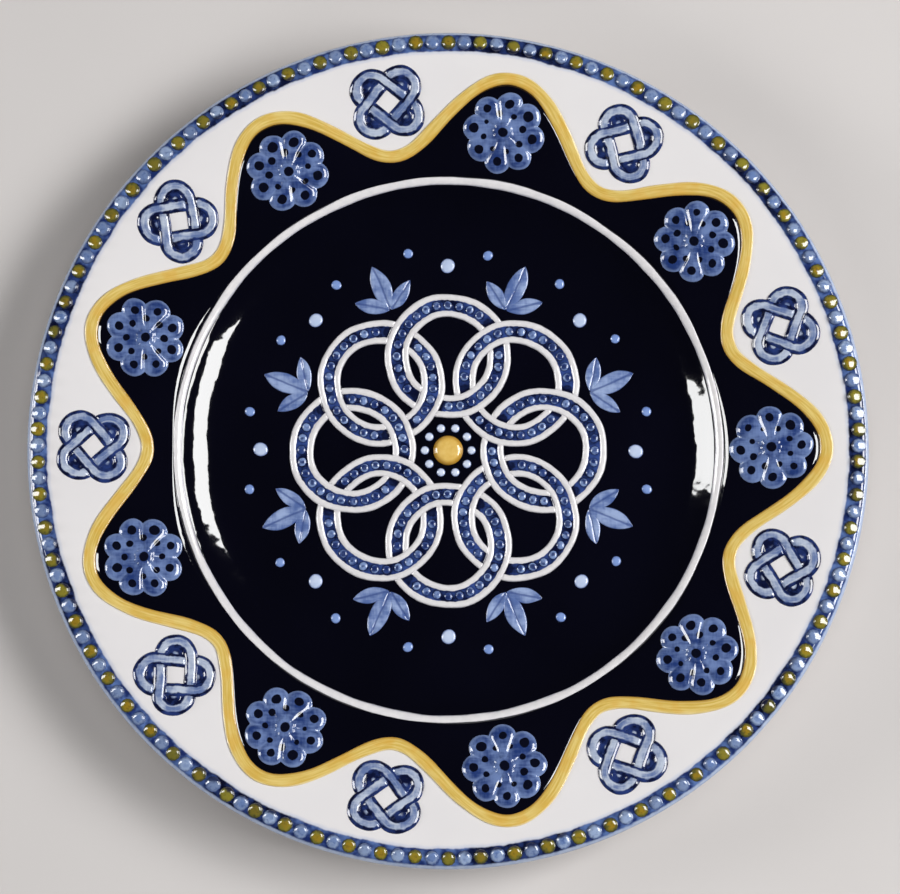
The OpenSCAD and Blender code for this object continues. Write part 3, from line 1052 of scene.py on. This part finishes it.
# %% [markdown]
# Every ring goes under each neighbour once. A boolean cut would leave a hole beside the strap, so the points
# sink out of sight and the ring stays whole. Each point stores how far it is from that cover and from the
# nearest pearl.

# %% Pass the ring under its neighbours
ring_sink = 1.1 * MM
dive = (-0.8 * MM, 0.05 * MM)
crossing_reach = 2.2 * strap_half
ring_half_gap = ring_pos_r * sin(ring_step / 2)
cross_mid_r = ring_pos_r * cos(ring_step / 2)
cross_reach = sqrt(ring_mid ** 2 - ring_half_gap ** 2)
unders = []
for side, reach in ((1, -cross_reach), (-1, cross_reach)):
    crossing = Matrix.Rotation(side * ring_step / 2, 3, "Z") @ at(cross_mid_r + reach, 0)
    unders.append((crossing, Matrix.Rotation(side * ring_step, 3, "Z") @ ring_c))


def to_cover(x, y):
    """How far a point is from a strap that covers the ring, negative under it."""
    spot = Vector((x, y, 0))
    found = [abs((spot - centre).length - ring_mid) - strap_half
             for crossing, centre in unders if (spot - crossing).length < crossing_reach]
    return min(found, default=strap_half)


def pass_under(x, y, z):
    return Vector((x, y, z - ring_sink * (1 - ease(to_cover(x, y), *dive))))


def pearl_away(x, y, z):
    """Distance from the nearest pearl's middle, along and across the channel, in millimetres."""
    pitch = 2 * pi / ring_pearls
    turn = atan2(y, x - ring_pos_r)
    along = ((turn + pitch / 2) % pitch - pitch / 2) * ring_mid
    return hypot(along, hypot(x - ring_pos_r, y) - ring_mid) / MM


mark(ring, "across", lambda x, y, z: (hypot(x - ring_pos_r, y) - ring_mid) / MM)
mark(ring, "cover", lambda x, y, z: to_cover(x, y) / MM)
mark(ring, "away", pearl_away)
move_points(ring, pass_under)

# %% [markdown]
# Pearls of slip are dropped into the channel from a fine nozzle, except under a strap. Spin can't leave any
# out, so a loop sets them one by one. The ring is then copied round the plate.

# %% Set the pearls and copy the ring
pearl_segments = 10
pearls = []
for k in range(ring_pearls):
    turn = 2 * pi * k / ring_pearls
    spot = ring_c + Vector((ring_mid * cos(turn), ring_mid * sin(turn), 0))
    if to_cover(spot.x, spot.y) > pearl_half:
        pearl = dome("pearl", pearl_half, pearl_h, spot + at(0, well_z + channel_h), pearl_segments)
        close_up()
        mark(pearl, "pearl", lambda x, y, z: max(0, (z - well_z - channel_h) / pearl_h))
        mark(pearl, "cover", lambda x, y, z: strap_half / MM)
        pearls.append(pearl)
print(f"{len(pearls)} pearls on a ring")
ring = join([ring] + pearls)
ring_pieces = [ring] + [copy_turned(ring, f"ring_{i + 1}", ring_step * i) for i in range(1, rings)]
for piece in ring_pieces:
    move_points(piece, by_hand)

# %% [markdown]
# White lines and blue channel share one glaze, since the brush ran along both, and the stored distance across
# parts them. Colour settles dark round a pearl and where a strap dives, which the other stored numbers give.

# %% Mix the straps' glaze
def strap_glaze():
    glaze = Glaze("strap_glaze", 0.07)
    ragged = (glaze.noise(1.2) - 0.5) * 0.5
    side = glaze.math("ABSOLUTE", glaze.stored("across")) + ragged
    line_in = (strap_line_pos - strap_line_half) / MM
    edge = glaze.soft(side, line_in - 0.05, line_in + 0.15)
    slip = glaze.mix(glaze.noise(1.5, 3), paint(206, 204, 207), paint(233, 230, 230))
    strap_edge = glaze.soft(side, strap_half / MM - 0.3, strap_half / MM + 0.1)
    white = glaze.mix(strap_edge * 0.6, slip, paint(126, 130, 156))
    wash = brush_wash(glaze, paint(9, 15, 46), paint(50, 72, 134))
    pool = (1 - glaze.soft(glaze.stored("away") + ragged, 0.9, 1.4)) * 0.8
    ends = 1 - glaze.soft(glaze.stored("cover") + ragged, 0.3, 1.6)
    channel = glaze.mix(glaze.math("MAXIMUM", pool, ends), wash, paint(10, 14, 40))
    pearl = glaze.stored("pearl")
    cloud = glaze.soft(glaze.noise(2.4), 0.36, 0.64)
    shade = glaze.mix(cloud, paint(44, 64, 120), paint(126, 148, 194))
    tops = glaze.mix(glaze.soft(pearl, 0.1, 0.5), channel, shade)
    spots = glaze.soft(pearl + (glaze.noise(2.8) - 0.5) * 1.6, 0.8, 1.0)
    pearled = glaze.mix(spots * 0.85, tops, paint(26, 40, 90))
    return glaze.finish(glaze.mix(edge, pearled, white), glaze.noise(1.5) * 0.03)


seat_all(ring_pieces, strap_glaze(), "strap_glaze", "medallion_loop")

# %% [markdown]
# A yellow boss with ten pearls round it fills the eye of the medallion, a button of clay under a drop of
# stain. A flattened sphere would meet the glaze at a sharp angle, so it is a disc of rings with an upright
# foot.

# %% Raise the boss
boss_h = 1.5 * MM
boss_pearls = 10
boss_points = 48
boss_edge_r = (2.4, 3.6)
pearl_crown_z = (0.05, 0.4)
boss_rings = [(1, -0.4), (1, 0.1), (0.97, 0.35), (0.9, 0.62), (0.75, 0.88), (0.55, 0.97), (0.3, 1.0)]
boss = raised_disc("boss", boss_rings, boss_points, boss_half, boss_h)
move_points(boss, lambda x, y, z: Vector((x, y, z + well_z)))
eye_pearls = dome("eye_pearls", pearl_half, pearl_h, at(boss_half + boss_gap + pearl_half, well_z))
repeat_round(boss_pearls)
close_up()
boss = join([boss, eye_pearls])


def boss_glaze():
    glaze = Glaze("boss_yellow", 0.08)
    x, y, z = glaze.parts(glaze.spot)
    r = (x * x + y * y) ** 0.5
    yellow = glaze.mix(glaze.noise(1.6, 3), paint(206, 158, 58), paint(232, 202, 122))
    edged = glaze.mix(glaze.soft(r, *boss_edge_r), yellow, paint(186, 138, 40))
    crown = glaze.soft(z - well_z / MM, *pearl_crown_z)
    pearl = glaze.mix(crown, paint(96, 116, 168), paint(206, 216, 236))
    outside = glaze.soft(r, boss_half / MM + 0.2, boss_half / MM + 0.4)
    return glaze.finish(glaze.mix(outside, edged, pearl), glaze.noise(1.5) * 0.04)


seat(boss, boss_glaze(), "yellow_stain", "medallion_boss")

# %% [markdown]
# Sprigs of three leaves, cut from a thin sheet of clay, stand between the rings. A filled outline has no
# points for a vein, so a leaf is a disc of rings again, drawn out to two tips, with the vein pressed along
# the middle.

# %% Lay the sprigs
notch_r = cross_mid_r + sqrt(ring_out ** 2 - ring_half_gap ** 2)
sprig_gap = 3 * MM
sprig_r = notch_r + sprig_gap
leaf_spread = radians(55)
leaf_start = 0.2 * MM
leaf_size = (12 * MM, 5 * MM)
side_leaf_size = (9 * MM, 3.8 * MM)
leaf_points = 64
leaf_tip = 0.999
vein_z = 0.25 * MM
vein_depth = 0.22 * MM
vein_half = 0.35 * MM
leaf_rings = [(1, -0.5), (1, 0.2), (0.96, 0.3), (0.88, 0.37), (0.7, 0.4), (0.45, 0.4), (0.2, 0.4)]


def leaf(name, length, width, turn):
    """A leaf between two arcs, from its own start out along a turn."""
    piece = raised_disc(name, leaf_rings, leaf_points, 1)
    rad = (length ** 2 + width ** 2) / (4 * width)

    def leaf_shape(x, y, z):
        along = length / 2 * x
        half = sqrt(rad ** 2 - along ** 2) - (rad - width / 2)
        disc_half = sqrt(1 - min(x * x, leaf_tip))
        share = min(1, hypot(x, y) + 1 - leaf_tip)
        side = y / disc_half * half * share if abs(x) < leaf_tip else 0
        vein = vein_depth * exp(-(side / vein_half) ** 2) if z > vein_z else 0
        return Vector((leaf_start + length / 2 + along, side, z - vein))

    move_points(piece, leaf_shape)
    mark_flat(piece)
    piece.rotation_euler.z = turn
    settle(piece)
    return piece


leaves = [leaf("sprig", *leaf_size, 0)]
leaves += [leaf(f"side_leaf_{side}", *side_leaf_size, side * leaf_spread) for side in (-1, 1)]
sprig = join(leaves)
sprig.location = at(sprig_r, well_z)
settle(sprig)
sprigs = [copy_turned(sprig, f"well_sprig_slip_{i + 1}", ring_step * (i + 0.5)) for i in range(rings)]
bpy.data.objects.remove(sprig)

# %% [markdown]
# Dots of pale slip lie round the sprigs, one large and two small to a ring. A drop settles low and round, so
# it is the dome of the beads again, with more faces since it stands alone.

# %% Drop the dots
dot_h = 0.4 * MM
dot_half = 1.8 * MM
small_dot_half = 1.25 * MM
dot_pos_r = (medallion_r + floor_r) / 2
small_dot_gap = 3.2 * MM
small_dot_pos_r = floor_r - small_dot_gap
dot_segments, small_dot_segments = 24, 20

group = [dome("dots_1", dot_half, dot_h, at(dot_pos_r, well_z), dot_segments)]
close_up()
for side in (-1, 1):
    turn = side * ring_step / 4
    spot = Vector((small_dot_pos_r * cos(turn), small_dot_pos_r * sin(turn), well_z))
    group.append(dome("small_dot", small_dot_half, dot_h, spot, small_dot_segments))
    close_up()
dots = join(group)
dot_groups = [dots] + [copy_turned(dots, f"dots_{i + 1}", ring_step * i) for i in range(1, rings)]
for piece in sprigs + dot_groups:
    move_points(piece, by_hand)

# %% [markdown]
# The leaves take the flowers' crossing wash, thinned, with darker edges. Dots are paler on top than round the
# foot, and the small ones bluer. One glaze tells them apart by their distance from the middle, which saves a
# second.

# %% Mix the pale blues
leaf_edge_z = (0.2, 0.34)
small_dots_from = (-1.8, -1.4)
dot_crown_z = (0.02, 0.3)


def leaf_glaze():
    glaze = Glaze("leaf_blue", 0.08)
    z = glaze.parts(glaze.stored("flat", "Vector"))[2]
    wash = brush_wash(glaze, paint(82, 104, 158), paint(150, 168, 206))
    edge = 1 - glaze.soft(z, *leaf_edge_z)
    return glaze.finish(glaze.mix(edge * 0.7, wash, paint(58, 78, 134)), glaze.noise(1.5) * 0.04)


def dot_glaze():
    glaze = Glaze("dot_blue", 0.08)
    x, y, z = glaze.parts(glaze.spot)
    r = (x * x + y * y) ** 0.5
    far = glaze.soft(r - small_dot_pos_r / MM, *small_dots_from)
    cloud = glaze.noise(2)
    large = glaze.mix(cloud, paint(164, 182, 218), paint(204, 215, 234))
    small = glaze.mix(cloud, paint(98, 128, 194), paint(146, 170, 216))
    crown = glaze.soft(z - well_z / MM, *dot_crown_z)
    return glaze.finish(glaze.mix(crown, paint(88, 110, 168), glaze.mix(far, large, small)))


seat_all(sprigs, leaf_glaze(), "pale_blue_glaze", "well_sprig")
seat_all(dot_groups, dot_glaze(), "pale_blue_glaze", "well_dots")

# %% [markdown]
# The plate lies on a pale table between soft boxes, the brightest on the right, so soft shadows fall to the
# left. Fills are kept out of reflections, because the flat glaze mirrors what is above it and has to stay
# dark. White cards do the opposite: they are seen in the glaze alone, as a bright window in the cove and
# glints on the lip.

# %% Set the table and the lamps
table_size = 6
room_light = 0.012

select_nothing()
bpy.ops.mesh.primitive_plane_add(size=table_size)
table = added("table")


def table_paper():
    glaze = Glaze("table_paper", 0.9)
    glaze.shader.inputs["Specular IOR Level"].default_value = 0
    return glaze.finish(glaze.mix(glaze.noise(60), paint(199, 195, 193), paint(205, 201, 199)))


table.data.materials.append(table_paper())


def soft_box(name, spot, size, power):
    """A rectangular lamp that faces the middle of the plate: place and size in metres, power in watts."""
    select_nothing()
    bpy.ops.object.light_add(type="AREA", location=spot)
    lamp = added(name)
    lamp.data.shape = "RECTANGLE"
    lamp.data.size, lamp.data.size_y = size
    lamp.data.energy = power
    lamp.rotation_euler = Vector(spot).to_track_quat("Z", "Y").to_euler()
    return lamp


fills = [("left_fill", (-1.5, 0.09, 0.6), (0.68, 0.52), 10),
         ("corner_fill", (1.15, 0.3, 0.98), (0.6, 0.6), 5.5),
         ("near_fill", (-0.4, -1.1, 0.9), (0.6, 0.6), 3.5),
         ("top_fill", (0, 0, 1.4), (0.6, 0.6), 3.4)]
cards = [("left_card", (-1.33, 0.12, 0.89), (0.56, 0.68), 12.5),
         ("low_right_card", (1.6, 0.1, 0.22), (0.9, 0.25), 9),
         ("low_left_card", (-1.6, 0.1, 0.22), (0.7, 0.25), 6)]
soft_box("right_box", (1.12, 0.09, 1.08), (1.0, 0.6), 21)
for fill in fills:
    soft_box(*fill).visible_glossy = False
for card in cards:
    soft_box(*card).visible_diffuse = False
print(f"1 soft box, {len(fills)} fills, {len(cards)} cards")

world = bpy.data.worlds.new("room")
bpy.context.scene.world = world
world.use_nodes = True
world.node_tree.nodes["Background"].inputs["Color"].default_value = (*[room_light] * 3, 1)

# %% [markdown]
# The camera looks almost straight down, tilted a few degrees from the near side. The distance could be tried
# by eye, but it follows from the plate's radius in pixels and the lens, so it is worked out.

# %% Set the camera
image_w = 900
sensor_w = 36
lens = 160
plate_r_px = 420.8
centre_px = (448.1, 446.5)
image_centre_px = (450, 447)
camera_tilt = radians(-6.3)

pixels_per_tan = image_w * lens / sensor_w
distance = pixels_per_tan * plate_r / plate_r_px
px = plate_r / plate_r_px
right_px, up_px = image_centre_px[0] - centre_px[0], centre_px[1] - image_centre_px[1]
aim = Vector((right_px * px, up_px * px, lip_c.z))
camera_spot = aim + distance * Vector((0, sin(camera_tilt), cos(camera_tilt)))
bpy.ops.object.camera_add(location=camera_spot, rotation=(-camera_tilt, 0, 0))
camera = bpy.context.active_object
camera.data.lens = lens
camera.data.sensor_width = sensor_w
bpy.context.scene.camera = camera
bpy.context.scene.view_settings.view_transform = "Standard"
print(f"camera {distance:.3f} m from the rim")
